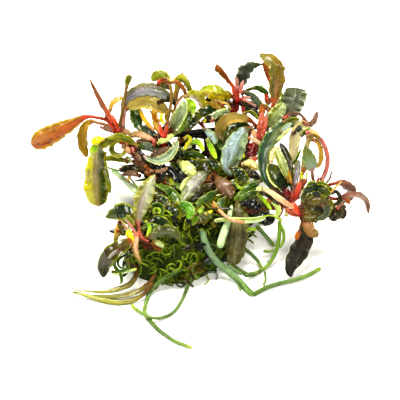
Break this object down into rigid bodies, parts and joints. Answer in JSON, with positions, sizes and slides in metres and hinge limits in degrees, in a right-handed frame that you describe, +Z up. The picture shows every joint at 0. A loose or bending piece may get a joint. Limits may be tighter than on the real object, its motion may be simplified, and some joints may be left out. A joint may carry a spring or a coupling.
{
  "type": "aquarium plant clump",
  "caption": "Clump of bucephalandra, an aquarium plant: narrow arching leaves in rosettes on red-tipped rhizomes over a mossy base, with trailing green roots.",
  "frame": {"origin": "on the resting surface, within the flat underside of the mossy base", "axes": "+Z up from the resting surface, +X along the clump's longest way, left to right in the picture, +Y towards the back of the clump"},
  "size_m": [0.122, 0.0956, 0.0565],
  "materials": {
    "dark_green": "glossy, very dark green to black",
    "grey_green": "glossy, with a silvery blue sheen",
    "olive": "satin, olive to brown",
    "golden": "satin, khaki to gold",
    "yellow_green": "satin, yellow-green",
    "pale_green": "satin, pale green, translucent",
    "bronze": "satin, brown to mauve",
    "orange": "satin, orange-brown with an olive margin",
    "tan": "satin, tan to peach",
    "rhizome": "damp, dark brown to black",
    "crown": "satin, maroon to coral red",
    "root": "satin, green, paler towards the tip",
    "moss": "matt, fibrous, dark to bright green"
  },
  "bodies": {
    "root": {"leaf_left_long": "orange", "leaf_left_spike": "bronze", "leaf_left_tall": "olive", "leaf_left_arch_grey": "grey_green", "leaf_left_arch_yellow": "golden", "leaf_left_narrow": "golden", "leaf_left_drooping": "dark_green", "leaf_top_hood": "olive", "leaf_top_arch": "olive", "leaf_middle_cupped": "grey_green", "leaf_middle_lime": "yellow_green", "leaf_back_spike": "bronze", "leaf_back_grey": "grey_green", "leaf_back_yellow": "yellow_green", "leaf_back_small": "olive", "leaf_tall_olive": "olive", "leaf_golden_arch": "golden", "leaf_silver": "grey_green", "leaf_pale_upright": "pale_green", "leaf_wrinkled": "grey_green", "leaf_long_dark": "dark_green", "leaf_tan_fold": "tan", "leaf_glossy_dark": "dark_green", "leaf_right_stalked": "bronze", "leaf_right_green": "grey_green", "leaf_right_hooked": "bronze", "leaf_right_tip": "bronze", "leaf_curled_upper": "dark_green", "leaf_curled_lower": "olive", "leaf_hanging_dark": "dark_green", "leaf_hanging_olive": "bronze", "leaf_tan_strap": "tan", "leaf_front_pale": "pale_green", "leaf_front_glossy": "dark_green", "leaf_front_dark": "bronze", "leaf_front_grey": "grey_green", "leaf_low_upper": "golden", "leaf_low_lower": "golden", "leaf_centre_long": "grey_green", "leaf_centre_brown": "bronze", "leaf_centre_bowl": "grey_green", "leaf_hanging_front": "olive", "rhizome_left": "rhizome", "rhizome_middle": "crown", "rhizome_back": "crown", "rhizome_twig": "rhizome", "rhizome_tall": "crown", "rhizome_centre": "rhizome", "rhizome_right": "crown", "rhizome_far_right": "crown", "rhizome_front": "crown", "root_front_left": "root", "root_front_tip": "root", "root_front_loop": "root", "root_right_thick": "root", "root_right_long": "root", "root_ring_upper": "root", "root_ring_lower": "root", "root_pale": "root", "moss_cushion": "moss"}
  },
  "joints": []
}
